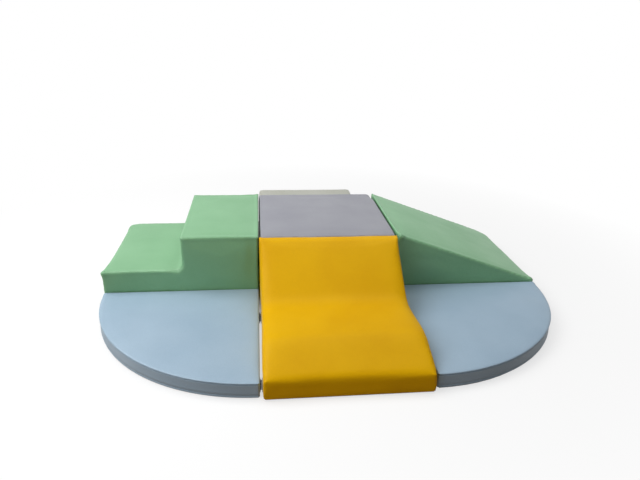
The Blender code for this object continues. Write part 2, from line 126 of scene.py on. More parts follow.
VOXEL = 0.007            # the faces of a cover's skin before they are made finer
PUFF_FRAMES = 20
PUFF_PRESSURE = 4
PUFF_REACH = 0.004       # the skin takes up most of its room when it would swell this far
SKIN = 0.0013            # how far the cover lies off the foam's solid where it is tight
MOST_SLIP = 0.0008       # how far its points may wander along it
WALL_ROOM = 0.0015       # how far the cover may swell off the foam on its walls,
TOP_ROOM = 0.0012        # how much further on its top,
FREE_WALL_ROOM = 0.0015  # and how much further on a wall with nothing sewn on it
HEM_REST = 0.0014        # the hem's height over the floor
HEM_RADIUS = 0.009       # the rounding from the walls to the hem
EDGE_RADIUS = 0.015      # the rounding of the other edges
FOOT_LINE = 0.0042       # the middle of the foot's rounding, where it turns from wall to hem
STRIP_ZONE = 0.062       # the strips and zips of a module's outer walls are below this height
PUCKER_REACH = 0.012     # a seam gathers the panels beside it up to this distance,
PUCKER_WIDTH = 0.011     # in puckers this wide
PUCKER_DEPTH = 0.0005    # and this deep
FAR = 1000               # a reach that takes in everything


def array_of(mesh, what="vertices", field="co"):
    """A field of all points of a mesh as an array."""
    items = getattr(mesh, what)
    flat = np.empty(len(items) * 3)
    items.foreach_get(field, flat)
    return flat.reshape(-1, 3)


def applied(thing):
    """The mesh of an object with its modifiers applied."""
    bpy.context.view_layer.update()
    graph = bpy.context.evaluated_depsgraph_get()
    return bpy.data.meshes.new_from_object(thing.evaluated_get(graph))


def smoothstep(value):
    """A soft rise from 0 to 1 as the value goes from 0 to 1."""
    value = np.clip(value, 0, 1)
    return value * value * (3 - 2 * value)


def near(points, spot, reach):
    """1 at a spot, falling to 0 at the reach given for each axis."""
    return smoothstep(1 - np.linalg.norm((points - np.array(spot)) / np.array(reach), axis=1))


def upward(thing, start=0.3, span=0.5):
    """1 on the top of a skin, falling to 0 on its walls."""
    return smoothstep((array_of(thing.data, "vertex_normals", "vector")[:, 2] - start) / span)


def relaxed(thing, values, weight, rounds):
    """Even out values over the mesh, each by its own weight, so that edges there become softer."""
    ends = np.empty(len(thing.data.edges) * 2, int)
    thing.data.edges.foreach_get("vertices", ends)
    a, b = ends.reshape(-1, 2).T
    count = np.bincount(ends, minlength=len(values))[:, None]
    for _ in range(rounds):
        total = np.zeros_like(values)
        np.add.at(total, a, values[b])
        np.add.at(total, b, values[a])
        values = values + (total / count - values) * weight[:, None]
    return values


def flat(normal, spot):
    """A flat panel: how far inside it each point is, and the way out of it."""
    normal = np.array(Vector(normal).normalized())
    return lambda points: ((np.array(spot) - points) @ normal,
                           np.broadcast_to(normal, points.shape))


def crisper(points, panels, radius, power):
    """Draw rounded edges out toward the corner where their panels would meet; 2 leaves them."""
    power = np.broadcast_to(power, len(points))[:, None]
    insides, outwards = zip(*(panel(points) for panel in panels))
    share = np.clip(1 - np.array(insides).T / radius, 1e-9, None)
    size = (share ** 2).sum(axis=1) ** 0.5
    square_size = (share ** power).sum(axis=1) ** (1 / power[:, 0])
    gain = np.minimum(size / square_size, 1.5) - 1
    for k, outward in enumerate(outwards):
        points = points + outward * (radius * gain * share[:, k])[:, None]
    return points


def even_skin(name):
    """The foam's solid as a skin of small even faces."""
    thing = bpy.data.objects.new(f"{name}_skin", frame["nodes"][f"{name}_foam"].data.copy())
    bpy.context.scene.collection.objects.link(thing)
    weld = thing.modifiers.new("closed", "WELD")
    weld.merge_threshold = 0.00002
    skin = thing.modifiers.new("even skin", "REMESH")
    skin.mode = "VOXEL"
    skin.voxel_size = VOXEL
    mesh = applied(thing)
    thing.modifiers.clear()
    thing.data = mesh
    return thing


def puffed(thing, room):
    """Blow the skin up as cloth over its filling; each point moves out by no more than its room."""
    start = array_of(thing.data)
    normals = array_of(thing.data, "vertex_normals", "vector")
    cloth = thing.modifiers.new("cover", "CLOTH")
    cloth.settings.quality = 4
    cloth.settings.mass = 0.3
    cloth.settings.use_pressure = True
    cloth.settings.uniform_pressure_force = PUFF_PRESSURE
    cloth.settings.effector_weights.gravity = 0
    cloth.point_cache.frame_start = 1
    cloth.point_cache.frame_end = PUFF_FRAMES
    for step in range(1, PUFF_FRAMES + 1):
        bpy.context.scene.frame_set(step)
    move = array_of(applied(thing)) - start
    thing.modifiers.clear()
    bpy.context.scene.frame_set(1)
    out = (move * normals).sum(axis=1)
    slip = move - normals * out[:, None]
    slip *= np.minimum(1, MOST_SLIP / np.maximum(np.linalg.norm(slip, axis=1), 1e-9))[:, None]
    out = SKIN + (room - SKIN) * np.tanh(np.maximum(out - SKIN, 0) / PUFF_REACH)
    out = relaxed(thing, out[:, None], np.full(len(out), 0.5), 4)
    return start + normals * out + slip


def sew(bm, seams):
    """Sink a seam along each plane, with the panels gathered beside it."""
    for foot, normal, depth, width in seams:
        foot, normal = Vector(foot), Vector(normal).normalized()
        for shift in (-width / 2, 0, width / 2):
            faces = [f for f in bm.faces
                     if abs((f.calc_center_median() - foot).dot(normal)) < 2 * VOXEL]
            geometry = faces + list({e for f in faces for e in f.edges})
            geometry += list({v for f in faces for v in f.verts})
            bmesh.ops.bisect_plane(bm, geom=geometry, dist=0.0002, plane_co=foot + normal * shift,
                                   plane_no=normal)
        bm.normal_update()
        for vert in bm.verts:
            off = abs((vert.co - foot).dot(normal))
            if off < PUCKER_REACH:
                gather = noise.noise(vert.co / PUCKER_WIDTH) * PUCKER_DEPTH
                gather *= 1 - off / PUCKER_REACH
                vert.co -= vert.normal * (gather + (depth if off < width / 4 else 0))


def dressed(thing, name, place, finish):
    """Give a cover its finish and its place in the set, where it stands for the cover and foam."""
    thing.data.transform(place)
    thing.data.shade_smooth()
    thing.data.materials.clear()
    thing.data.materials.append(finish)
    thing.name = f"{name}_stuffed_cover"
    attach(thing, name)
    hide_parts(f"{name}_cover", f"{name}_foam")


def stuffed_cover(name, finish, turn, corner, room, shape, edges, seams, width_left=None):
    """A module's cover, stuffed with its foam. It is made with its X running out along it.

    Its edges and seams are made while its side walls are straight, so that they follow them."""
    width_left = width_left or (lambda points: np.ones(len(points)))
    place = Matrix.Translation(Vector(corner)) @ Matrix.Rotation(turn, 4, "Z")
    thing = even_skin(name)
    thing.data.transform(place.inverted())
    corners = np.array([place.inverted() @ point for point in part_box(f"{name}_cover")])
    low, high = corners.min(axis=0), corners.max(axis=0)
    points = puffed(thing, room(thing))
    points = shape(thing, points, low, high)
    points[:, 2] = np.maximum(points[:, 2], HEM_REST)
    thing.data.vertices.foreach_set("co", points.ravel())
    finer = thing.modifiers.new("finer", "SUBSURF")
    finer.levels = finer.render_levels = 1
    mesh = applied(thing)
    thing.modifiers.clear()
    thing.data = mesh
    bm = bmesh.new()
    bm.from_mesh(mesh)
    bmesh.ops.bisect_plane(bm, geom=[*bm.verts, *bm.edges, *bm.faces], dist=0.0003,
                           plane_co=(0, 0, FOOT_LINE), plane_no=(0, 0, 1))
    points = np.array([vert.co for vert in bm.verts])
    points[:, 1] /= width_left(points)
    for vert, point in zip(bm.verts, edges(points)):
        vert.co = Vector((point[0], point[1], max(point[2], HEM_REST)))
    sew(bm, seams)
    for vert, share in zip(bm.verts, width_left(np.array([vert.co for vert in bm.verts]))):
        vert.co.y *= share
    bm.to_mesh(mesh)
    bm.free()
    dressed(thing, name, place, finish)


def block_room(thing):
    """How far a cover may swell: its walls least where a strip or zip is sewn flat on them."""
    points = array_of(thing.data)
    top = upward(thing)
    free = smoothstep((points[:, 2] - STRIP_ZONE) / 0.03) * smoothstep(points[:, 0] / 0.03)
    return WALL_ROOM + TOP_ROOM * top + FREE_WALL_ROOM * free * (1 - top)


def wall_room(thing):
    """As block_room, for a cover with a strip or zip on every wall."""
    return WALL_ROOM + TOP_ROOM * upward(thing)


HALF_SIDE = 0.225
DRAW_IN = 0.005          # the cover's walls lean in this far at the middle of their top edge,
LEAN = 0.070             # from this far below it
SWELL = 0.0004           # above the strips, on each side of the 7 mm gap between two modules
STRIP_TOP = 0.153
END_SWELL = 0.0028       # past the strips' rear ends, where two modules nearly touch
STRIP_END = 0.180        # from the middle of the wall


def filled_out(points, axis, wall, top, rear=0):
    """A wall swells over the gap to the next module, clear of the strip and zip sewn on it."""
    side = -1 if wall <= points[:, axis].mean() else 1
    inside = (wall - points[:, axis]) * side
    along = points[:, 1 - axis] - (points[:, 1 - axis].min() + points[:, 1 - axis].max()) / 2
    rise = np.clip(1 - (top - points[:, 2]) / LEAN, 0, 1) ** 2
    drawn = DRAW_IN * np.clip(1 - (along / HALF_SIDE) ** 2, 0, 1) * rise
    above_strip = smoothstep((points[:, 2] - STRIP_TOP) / 0.014)
    above_foot = smoothstep((points[:, 2] - 0.008) / 0.02)
    past_strip = smoothstep((along * rear - STRIP_END) / 0.012) * above_foot
    swell = np.maximum((SWELL + drawn) * above_strip, (END_SWELL + drawn) * past_strip)
    moved = points.copy()
    moved[:, axis] += side * swell * smoothstep((0.050 - inside) / 0.040)
    return moved


SEAM_INSET = 0.004       # the seams of the side panels lie this far in from the side walls
SEAM_WIDTH = 0.0022
SEAM_DEPTH = 0.0011
HEM_FOLD = 0.009         # the hem's fold shows on the walls at this height
HEM_FOLD_DEPTH = 0.0007


def side_seams():
    """The seams between the side panels and the band, and the fold of the hem."""
    return [((0, -HALF_SIDE + SEAM_INSET, 0), (0, 1, 0), SEAM_DEPTH, SEAM_WIDTH),
            ((0, HALF_SIDE - SEAM_INSET, 0), (0, 1, 0), SEAM_DEPTH, SEAM_WIDTH),
            ((0, 0, HEM_FOLD), (0, 0, 1), HEM_FOLD_DEPTH, SEAM_WIDTH)]


def outline(length):
    """The four walls of a module, as panels."""
    out = HALF_SIDE + SKIN / 2
    return [flat((-1, 0, 0), (-SKIN / 2, 0, 0)), flat((1, 0, 0), (length + SKIN / 2, 0, 0)),
            flat((0, -1, 0), (0, -out, 0)), flat((0, 1, 0), (0, out, 0))]


def crisp_foot(points, walls):
    """Draw the walls down to the hem, which is folded sharply."""
    return crisper(points, walls + [flat((0, 0, -1), (0, 0, HEM_REST))], HEM_RADIUS, 4)


def block_edges(length, top, power):
    """The edges of a module whose top is one panel."""
    walls = outline(length)

    def edges(points):
        points = crisper(points, walls + [top], EDGE_RADIUS, power(points))
        return crisp_foot(points, walls)
    return edges


PLATFORM_TOP = 0.235
CORNER_ROUND = 0.026     # the right edge of the top is this round at its rear end


def drawn_sides(upper_side, panels=((0, 0.5),)):
    """What the leaning side walls leave of a cover's width, under the line of its upper side."""
    starts, ends = np.array(panels).T

    def left(points):
        panel = np.searchsorted(ends, points[:, 0]).clip(0, len(panels) - 1)
        along = np.clip(2 * (points[:, 0] - starts[panel]) / (ends - starts)[panel] - 1, -1, 1)
        height = np.interp(points[:, 0], *zip(*upper_side))
        rise = np.clip(1 - (height - points[:, 2]) / LEAN, 0, 1) ** 2
        return 1 - DRAW_IN / HALF_SIDE * (1 - along ** 2) * rise
    return left


def platform_shape(thing, points, low, high):
    """All four walls swell over the gaps to the arms."""
    for axis, wall, rear in ((0, low[0], 1), (0, high[0], 1), (1, low[1], 0), (1, high[1], 0)):
        points = filled_out(points, axis, wall, PLATFORM_TOP, rear)
    return points


def platform_edges(points):
    """The edges are crisp, but the right one is round at its rear end."""
    walls, top = outline(2 * HALF_SIDE), flat((0, 0, 1), (0, 0, PLATFORM_TOP))
    right = walls[1]
    points = crisp_foot(crisper(points, walls + [top], EDGE_RADIUS, 6), walls)
    rear_end = near(points, (2 * HALF_SIDE, HALF_SIDE, PLATFORM_TOP), (0.10, 0.08, 0.10))
    share = np.clip(1 - np.array([right(points)[0], top(points)[0]]) / CORNER_ROUND, 0, None)
    beyond = np.maximum(np.hypot(*share), 1)
    points[:, (0, 2)] -= (CORNER_ROUND * share * (1 - 1 / beyond) * smoothstep(1.6 * rear_end)).T
    return points


ARM_START = 0.232        # from the middle of the platform, past the 7 mm gap
grey_leatherette = leatherette("grey PVC leatherette", "94959D", "8D8E97", 0.46, 0.35)
stuffed_cover("platform", grey_leatherette, 0, (-HALF_SIDE, 0, 0), wall_room, platform_shape,
              platform_edges, side_seams())


# Steps: two treads cut from one foam block, in a cover of mint leatherette. The seams end in small
# pointed ears at the corners, and the cover turns softly up from the lower tread.

LOWER_TREAD = 0.120
RISER = 0.246
ARM_LENGTH = 0.500
INNER_FILL = 0.0035      # the cover stands off the foam in the inner corner
STEP_EAR = (0.0045, 0.002, 0.002)
STEPS_SIDE = ((0, PLATFORM_TOP), (RISER, PLATFORM_TOP), (RISER, LOWER_TREAD),
              (ARM_LENGTH, LOWER_TREAD))


def steps_shape(thing, points, low, high):
    """Soft in the inner corner and at the rear corner, with an ear at the front one."""
    points = filled_out(points, 0, low[0], PLATFORM_TOP, -1)
    inner = near(points, (RISER, 0, LOWER_TREAD), (0.030, FAR, 0.030))
    points = points + inner[:, None] * np.array((INNER_FILL, 0, INNER_FILL))
    rear = near(points, (high[0], low[1], LOWER_TREAD), (0.04, 0.04, 0.04))
    points = relaxed(thing, points, 0.5 * rear, 6)
    ear = near(points, (high[0], high[1], LOWER_TREAD + 0.002), (0.035, 0.035, 0.030))
    return points + ear[:, None] * np.array(STEP_EAR)


def steps_edges(points):
    """The upper block's edges, crisp at the platform, then the lower tread's and the foot."""
    walls, upper_walls = outline(ARM_LENGTH), outline(RISER)
    upper = smoothstep((points[:, 2] - 0.15) / 0.03)
    at_platform = smoothstep((0.06 - points[:, 0]) / 0.03)
    top = flat((0, 0, 1), (0, 0, PLATFORM_TOP))
    power = 2 + 1.2 * upper + 2.8 * at_platform
    points = crisper(points, upper_walls + [top], EDGE_RADIUS, power)
    lower = smoothstep((points[:, 0] - RISER - 0.015) / 0.03)
    rear = near(points, (ARM_LENGTH, -HALF_SIDE, LOWER_TREAD), (0.06, 0.06, 0.06))
    top = flat((0, 0, 1), (0, 0, LOWER_TREAD))
    points = crisper(points, walls + [top], EDGE_RADIUS, 2 + 1.6 * lower * (1 - rear))
    return crisp_foot(points, walls)


mint_leatherette = leatherette("mint PVC leatherette", "7AB182", "73A97B", 0.46, 0.8)
stuffed_cover("steps", mint_leatherette, math.pi, (-ARM_START, 0, 0), block_room, steps_shape,
              steps_edges, side_seams(),
              drawn_sides(STEPS_SIDE, ((0, RISER), (RISER, ARM_LENGTH))))


# Ramp: a foam wedge in a cover of the same mint leatherette, sewn in the same way. Its low end bows
# out a little, and the seams of its front side end in ears.

RAMP_END = 0.056
END_BOW = 0.003          # the middle of the low end stands out this far
HIGH_EAR = (0.007, -0.002, 0.004)
LOW_EAR = (0.003, -0.002, 0.001)


def ramp_shape(thing, points, low, high):
    """Soft at the low end's rear corner, bowed at that end, and with ears along the front."""
    points = filled_out(points, 0, low[0], PLATFORM_TOP, 1)
    far_corner = near(points, (high[0], high[1], RAMP_END), (0.05, 0.05, 0.05))
    points = relaxed(thing, points, 0.5 * far_corner, 12)
    waist = near(points, (high[0], 0, RAMP_END), (0.05, 0.20, 0.05))
    points = points + waist[:, None] * np.array((END_BOW, 0, 0))
    ear = near(points, (0, low[1], high[2]), (0.040, 0.035, 0.035))
    points = points + ear[:, None] * np.array(HIGH_EAR)
    ear = near(points, (high[0], low[1], RAMP_END), (0.035, 0.030, 0.030))
    return points + ear[:, None] * np.array(LOW_EAR)


def ramp_power(points):
    """The edges are crisp, most of all at the platform, and softer at the far corner."""
    at_platform = smoothstep((0.06 - points[:, 0]) / 0.03)
    far_corner = near(points, (ARM_LENGTH, HALF_SIDE, RAMP_END), (0.07, 0.07, 0.07))
    ear = near(points, (0, -HALF_SIDE, PLATFORM_TOP), (0.06, 0.05, 0.06))
    return 3.2 + 2.8 * at_platform * (1 - ear) - 1.2 * far_corner


ramp_top = flat((PLATFORM_TOP - RAMP_END, 0, ARM_LENGTH), (0, 0, PLATFORM_TOP))
stuffed_cover("ramp", mint_leatherette, 0, (ARM_START, 0, 0), block_room, ramp_shape,
              block_edges(ARM_LENGTH, ramp_top, ramp_power), side_seams(),
              drawn_sides(((0, PLATFORM_TOP), (ARM_LENGTH, RAMP_END))))


# Wave slide: a foam block cut to a wave and rounded broadly along both sides, in a cover of yellow
# leatherette that bulges at its sides above the strips.

SLIDE_LENGTH = 0.514
SLIDE_END = 0.058
SLIDE_SIDE = ((0, PLATFORM_TOP), (0.026, PLATFORM_TOP), (0.209, 0.105), (0.392, 0.109),
              (SLIDE_LENGTH, SLIDE_END))
RIGHT_BULGE = 0.0010     # the cover bulges this far at its right side,
FRONT_BULGE = 0.0040     # and this much further toward the front
LEFT_BULGE = 0.0030


def slide_shape(thing, points, low, high):
    """Rounded along both sides, even along the wave, soft at the front, and with bulging sides."""
    points = filled_out(points, 0, low[0], PLATFORM_TOP)
    inboard = HALF_SIDE - np.abs(points[:, 1])
    shoulder = smoothstep(1 - inboard / 0.045) * smoothstep((points[:, 2] - 0.046) / 0.03)
    shoulder *= smoothstep((points[:, 0] - 0.02) / 0.06)
    points = relaxed(thing, points, 0.5 * shoulder, 7)
    wave = near(points, (0.25, 0, 0.1), (0.20, FAR, FAR)) ** 0.5 * upward(thing, 0.4, 0.3)
    points = relaxed(thing, points, 0.5 * wave, 30)
    front = near(points, (high[0], 0, SLIDE_END), (0.045, FAR, 0.040))
    points = relaxed(thing, points, 0.5 * front, 3)
    clear = smoothstep((points[:, 2] - 0.044) / 0.02) * smoothstep((0.06 - inboard) / 0.06)
    to_front = smoothstep((points[:, 0] - 0.15) / 0.30)
    bulge = np.where(points[:, 1] < 0, -LEFT_BULGE, RIGHT_BULGE + FRONT_BULGE * to_front) * clear
    points[:, 1] += bulge
    return points


def slide_power(points):
    """The edges are crisp at the platform, less so at the front, and broadly round between."""
    at_platform = smoothstep((0.05 - points[:, 0]) / 0.04)
    at_front = smoothstep((points[:, 0] - SLIDE_LENGTH + 0.05) / 0.03)
    return 2 + 4 * at_platform + 1.2 * at_front


yellow_leatherette = leatherette("yellow PVC leatherette", "E6B200", "DDA700", 0.42, 0.08)
slide_top = flat((0, 0, 1), (0, 0, PLATFORM_TOP))
stuffed_cover("slide", yellow_leatherette, -math.pi / 2, (0, -ARM_START, 0), block_room,
              slide_shape, block_edges(SLIDE_LENGTH, slide_top, slide_power), side_seams(),
              drawn_sides(SLIDE_SIDE, ((0, SLIDE_LENGTH),)))


# Rear step: a low flat foam block in a cover of cream leatherette, sewn like the platform's. It
# stands against the platform's rear wall, where a hook strip holds it.

REAR_STEP_TOP = 0.100


def rear_step_shape(thing, points, low, high):
    """It stays as the foam fills it."""
    return points


def rear_step_power(points):
    """All its edges are equally crisp."""
    return 3.2


cream_leatherette = leatherette("cream PVC leatherette", "B7B8AD", "B0B1A4", 0.46, 0.35)
rear_step_top = flat((0, 0, 1), (0, 0, REAR_STEP_TOP))
stuffed_cover("rear_step", cream_leatherette, math.pi / 2, (0, ARM_START, 0), wall_room,
              rear_step_shape, block_edges(ARM_LENGTH, rear_step_top, rear_step_power),
              side_seams(), drawn_sides(((0, REAR_STEP_TOP), (ARM_LENGTH, REAR_STEP_TOP))))


# Mats: quarter discs of thin foam in covers of blue leatherette. A top panel rolls over the edge to
# a seam a little below it, and a band closes the walls down to the hem. The edge toward the steps
# or the ramp swells over the gap there.

MAT_ROUND = 0.006        # the radius of the cover's upright corners
MAT_MIDDLE = 0.22        # the rings of the mesh shrink to this point, in X and in Y
RING_POINTS = 460
TOP_RINGS = 22
MAT_TOP_ROOM = 0.0020
MAT_SEAM = 0.0411        # the height of the seam under the rolled rim
# How far in the cover lies from the mat's outline, and how high, from the hem up over the rim
MAT_PROFILE = (
    (0.0140, 0.0014), (0.0060, 0.0014), (0.0022, 0.0015), (0.0006, 0.0024), (0.0002, 0.0040),
    (0.0005, 0.0072), (0.0018, 0.0084), (0.0006, 0.0096), (0.0010, 0.0160), (0.0014, 0.0230),
    (0.0014, 0.0300), (0.0012, 0.0362), (0.0012, 0.0384), (0.0024, 0.0399), (0.0056, MAT_SEAM),
    (0.0022, 0.0421), (0.0004, 0.0430), (0.0001, 0.0440), (0.0010, 0.0450), (0.0034, 0.0460),
    (0.0070, 0.0468), (0.0120, 0.0475), (0.0180, 0.0480))
BAND = (0.0050, 0.0365)  # the straight walls are flat between these heights, where strips are sewn


def mat_ring(aims, straight, curved):
    """Points round a mat, this far in from its two straight walls and from its curved one."""
    low, high = np.zeros(len(aims)), np.full(len(aims), ARM_LENGTH)
    for _ in range(40):
        reach = (low + high) / 2
        x, y = (MAT_MIDDLE + aims * reach[:, None]).T
        insides = np.array((x - straight, y - straight, ARM_LENGTH - curved - np.hypot(x, y)))
        out = (np.clip(1 - insides / MAT_ROUND, 0, None) ** 2).sum(axis=0) > 1
        high, low = np.where(out, reach, high), np.where(out, low, reach)
    return MAT_MIDDLE + aims * high[:, None]


def even_aims():
    """Ways out from the middle, that cut the outline into even lengths and its corners finer."""
    angles = np.linspace(0, 2 * math.pi, 20001)
    line = mat_ring(np.stack((np.cos(angles), np.sin(angles)), axis=1), 0, 0)
    steps = np.diff(line, axis=0)
    lengths = np.linalg.norm(steps, axis=1)
    ways = np.unwrap(np.arctan2(steps[:, 1], steps[:, 0]))
    turns = np.abs(np.diff(ways, append=ways[:1] + 2 * math.pi)) * 0.02
    gone = np.concatenate(([0], np.cumsum(lengths + turns)))
    picked = np.interp(np.arange(RING_POINTS) / RING_POINTS * gone[-1], gone, angles)
    return np.stack((np.cos(picked), np.sin(picked)), axis=1)


def mat_cover(name, finish, turn, corner, axis, front_stretch, side_stretch):
    """A mat's cover: its crown from the puffed skin, and its walls, seam and rim ring by ring.

    The wall at 0 on the axis swells over its gap. The curved wall moves out by the stretches, from
    the front tip round to the other side."""
    place = Matrix.Translation(Vector(corner)) @ Matrix.Rotation(turn, 4, "Z")
    thing = even_skin(name)
    thing.data.transform(place.inverted())
    points = puffed(thing, WALL_ROOM + MAT_TOP_ROOM * upward(thing))
    crown = BVHTree.FromPolygons([Vector(point) for point in points],
                                 [tuple(face.vertices) for face in thing.data.polygons])
    aims = even_aims()
    rings = []
    for inside, height in MAT_PROFILE:
        straight = 0 if BAND[0] < height < BAND[1] else inside
        ring = mat_ring(aims, straight, inside)
        rings.append(np.column_stack((ring, np.full(len(ring), height))))
    last = rings[-1].copy()
    for share in np.linspace(1, 0, TOP_RINGS + 1)[1:-1]:
        ring = MAT_MIDDLE + (last - MAT_MIDDLE) * share
        ring[:, 2] = last[:, 2]
        rings.append(ring)
    points = np.concatenate(rings + [[[MAT_MIDDLE, MAT_MIDDLE, last[0, 2]]]])
    inside = np.minimum(points[:, :2].min(axis=1), ARM_LENGTH - np.hypot(*points[:, :2].T))
    for point, weight in zip(points, smoothstep((inside - 0.008) / 0.020)):
        if weight > 0 and point[2] > BAND[1]:
            hit = crown.ray_cast(Vector((point[0], point[1], 1)), Vector((0, 0, -1)))[0]
            point[2] += (hit.z - point[2]) * weight
    for k, point in enumerate(points[:len(MAT_PROFILE) * RING_POINTS]):
        beside_seam = max(1 - abs(point[2] - MAT_SEAM) / 0.008, 0)
        pull = noise.noise(Vector(point) / 0.013) * 0.0007 * beside_seam
        point[:2] += aims[k % RING_POINTS] * pull
    reach, by = [FAR, FAR, 0.012], [0, 0, 0.0035]
    reach[axis], by[axis] = 0.022, -0.0050
    points = points + near(points, (0, 0, 0.044), reach)[:, None] * np.array(by)
    radius = np.maximum(np.hypot(points[:, 0], points[:, 1]), 0.01)
    to_side = smoothstep((0.98 - points[:, axis] / radius) / 0.6)
    more = front_stretch + (side_stretch - front_stretch) * to_side
    points[:, :2] *= 1 + (more * smoothstep((radius - 0.35) / 0.15) / radius)[:, None]
    faces = []
    for start in range(0, (len(rings) - 1) * RING_POINTS, RING_POINTS):
        for i in range(RING_POINTS):
            a, b = start + i, start + (i + 1) % RING_POINTS
            faces.append((a, b, b + RING_POINTS, a + RING_POINTS))
    start = (len(rings) - 1) * RING_POINTS
    faces += [(start + i, start + (i + 1) % RING_POINTS, len(points) - 1)
              for i in range(RING_POINTS)]
    mesh = bpy.data.meshes.new(name)
    mesh.from_pydata(points.tolist(), [], faces)
    thing.data = mesh
    dressed(thing, name, place, finish)


blue_leatherette = leatherette("blue PVC leatherette", "9FB6C8", "97AFC2", 0.46, 0.35)
mat_cover("left_mat", blue_leatherette, math.pi, (-ARM_START, -ARM_START, 0), 1, 0.0015, 0)
mat_cover("right_mat", blue_leatherette, -math.pi / 2, (ARM_START, -ARM_START, 0), 0, -0.004, 0.005)


# Bases: under each cover's hem, a panel of charcoal woven fabric with small PVC dots that grip the
# floor, sewn in flat.

DOT_PITCH = 0.006
WEAVE = 0.0016           # the yarns are about 0.5 mm apart, drawn three times as coarse to show


def non_slip_fabric():
    """Woven polyester with raised PVC dots: matt yarns with slightly glossier dots, and painted
    shade in the hollows of the weave.
    """
    made, tree, shader, place = new_material("dotted non-slip fabric")
    dots = add(tree, "ShaderNodeTexVoronoi",
               {"Vector": place, "Scale": 1 / DOT_PITCH, "Randomness": 0})
    dot = add(tree, "ShaderNodeMapRange", {0: dots.outputs["Distance"], 1: 0.30, 2: 0.24})
    yarns = add(tree, "ShaderNodeTexVoronoi",
                {"Vector": place, "Scale": 1 / WEAVE, "Randomness": 0.1})
    # Painted shade: the yarns darken from their tops out to the hollows between them.
    cloth = add(tree, "ShaderNodeMixRGB",
                {0: yarns.outputs["Distance"], 1: linear("46474A"), 2: linear("2B2C2E")})
    colour = add(tree, "ShaderNodeMixRGB",
                 {0: dot.outputs[0], 1: cloth.outputs[0], 2: linear("1B1C1D")})
    gloss = add(tree, "ShaderNodeMapRange", {0: dot.outputs[0], 3: 0.9, 4: 0.55})
    height = add(tree, "ShaderNodeMath", {0: dot.outputs[0], 1: yarns.outputs["Distance"]},
                 operation="SUBTRACT")
    bump = add(tree, "ShaderNodeBump", {"Height": height.outputs[0], "Distance": 0.0005})
    tree.links.new(colour.outputs[0], shader.inputs["Base Color"])
    tree.links.new(gloss.outputs[0], shader.inputs["Roughness"])
    tree.links.new(bump.outputs[0], shader.inputs["Normal"])
    return made


non_slip = non_slip_fabric()
modules = ("platform", "steps", "ramp", "slide", "rear_step", "left_mat", "right_mat")
for name in modules:
    frame["nodes"][f"{name}_base"].data.materials[0] = non_slip


# Zips: on each cover, two woven polyester tapes with moulded teeth that mesh over a slit, and two
# rows of stitches along each tape. They close the slit that the foam goes in by.

TAPE_THICKNESS = 0.0007
TAPE_WIDTH = 0.022
SLIT = 0.0008            # between the two tapes
BEAD_OFF = 0.0024        # the bead that holds the teeth lies this far from the slit's middle
BEAD_WIDTH = 0.0012
BEAD_HEIGHT = 0.0008
BEAD_MARGIN = 0.002      # from the bead's ends to the tape's
STITCH_LANES = (0.0052, 0.0092)
STITCH_MARGIN = 0.003
TOOTH_PITCH = 0.0025
TOOTH = (0.0019, 0.0040)
TOOTH_SHIFT = 0.0008     # the teeth of each side stand this far over the slit's middle
CHAIN_MARGIN = 0.008     # from the first and last tooth to the tape's ends
STOP = (0.0025, 0.0056, 0.0016)
STOP_INSET = 0.0055
STITCH = 0.0030
STITCH_PITCH = 0.0042
THREAD = 0.00035         # half the thread's width in a stitch


def nylon(name, colour, light, pitch, roughness, bump_depth):
    """Black nylon and the like: yarns at a pitch, their hollows darkened with painted shade so that
    their tops are lighter.
    """
    made, tree, shader, place = new_material(name)
    yarns = add(tree, "ShaderNodeTexVoronoi",
                {"Vector": place, "Scale": 1 / pitch, "Randomness": 0.25})
    fibres = add(tree, "ShaderNodeTexNoise", {"Vector": place, "Scale": 3 / pitch, "Detail": 3})
    # Painted shade: the colour darkens from each yarn's top out to the hollows between the yarns.
    shaded_yarns = add(tree, "ShaderNodeMixRGB",
                {0: yarns.outputs["Distance"], 1: linear(light), 2: linear(colour)})
    gloss = add(tree, "ShaderNodeMapRange",
                {0: fibres.outputs[0], 3: roughness - 0.1, 4: roughness + 0.1})
    height = add(tree, "ShaderNodeMath", {0: fibres.outputs[0], 1: yarns.outputs["Distance"]},
                 operation="SUBTRACT")
    bump = add(tree, "ShaderNodeBump", {"Height": height.outputs[0], "Distance": bump_depth})
    tree.links.new(shaded_yarns.outputs[0], shader.inputs["Base Color"])
    tree.links.new(gloss.outputs[0], shader.inputs["Roughness"])
    tree.links.new(bump.outputs[0], shader.inputs["Normal"])
    return made


tape_weave = nylon("woven polyester tape", "1C1D1F", "34363A", 0.0012, 0.85, 0.0002)
moulded_teeth = nylon("moulded acetal teeth", "17181A", "232528", 0.004, 0.35, 0.00002)
sewing_thread = nylon("bonded nylon thread", "2A2B2E", "4A4C50", 0.0008, 0.5, 0.0001)


def on_wall(node, body):
    """Where a flat piece is sewn: a frame with X along it and Z out of its wall, and its sizes."""
    low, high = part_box(node)
    size, middle = high - low, (low + high) / 2
    home = sum(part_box(f"{body}_cover"), Vector()) / 2
    order = sorted(range(3), key=lambda i: size[i])
    thin = order[0] if order[0] != 2 else order[1]
    long = 1 - thin
    outward, along = Vector(), Vector()
    outward[thin] = math.copysign(1, middle[thin] - home[thin])
    along[long] = 1
    across = outward.cross(along)
    turn = Matrix((along, across, outward)).transposed().to_4x4()
    foot = middle - outward * size[thin] / 2
    return Matrix.Translation(foot) @ turn, size[long], size[2], size[thin]


def block(bm, middle, size, slot=0, bevel=0.0):
    """A small rounded block of a piece."""
    made = bmesh.ops.create_cube(bm, size=1)["verts"]
    for vert in made:
        vert.co = Vector(a * b for a, b in zip(vert.co, size)) + Vector(middle)
    faces = list({face for vert in made for face in vert.link_faces})
    if bevel:
        edges = list({edge for face in faces for edge in face.edges})
        faces = bmesh.ops.bevel(bm, geom=edges, offset=bevel, segments=1, affect="EDGES")["faces"]
        faces = list({face for item in faces for vert in item.verts for face in vert.link_faces})
    for face in faces:
        face.material_index = slot


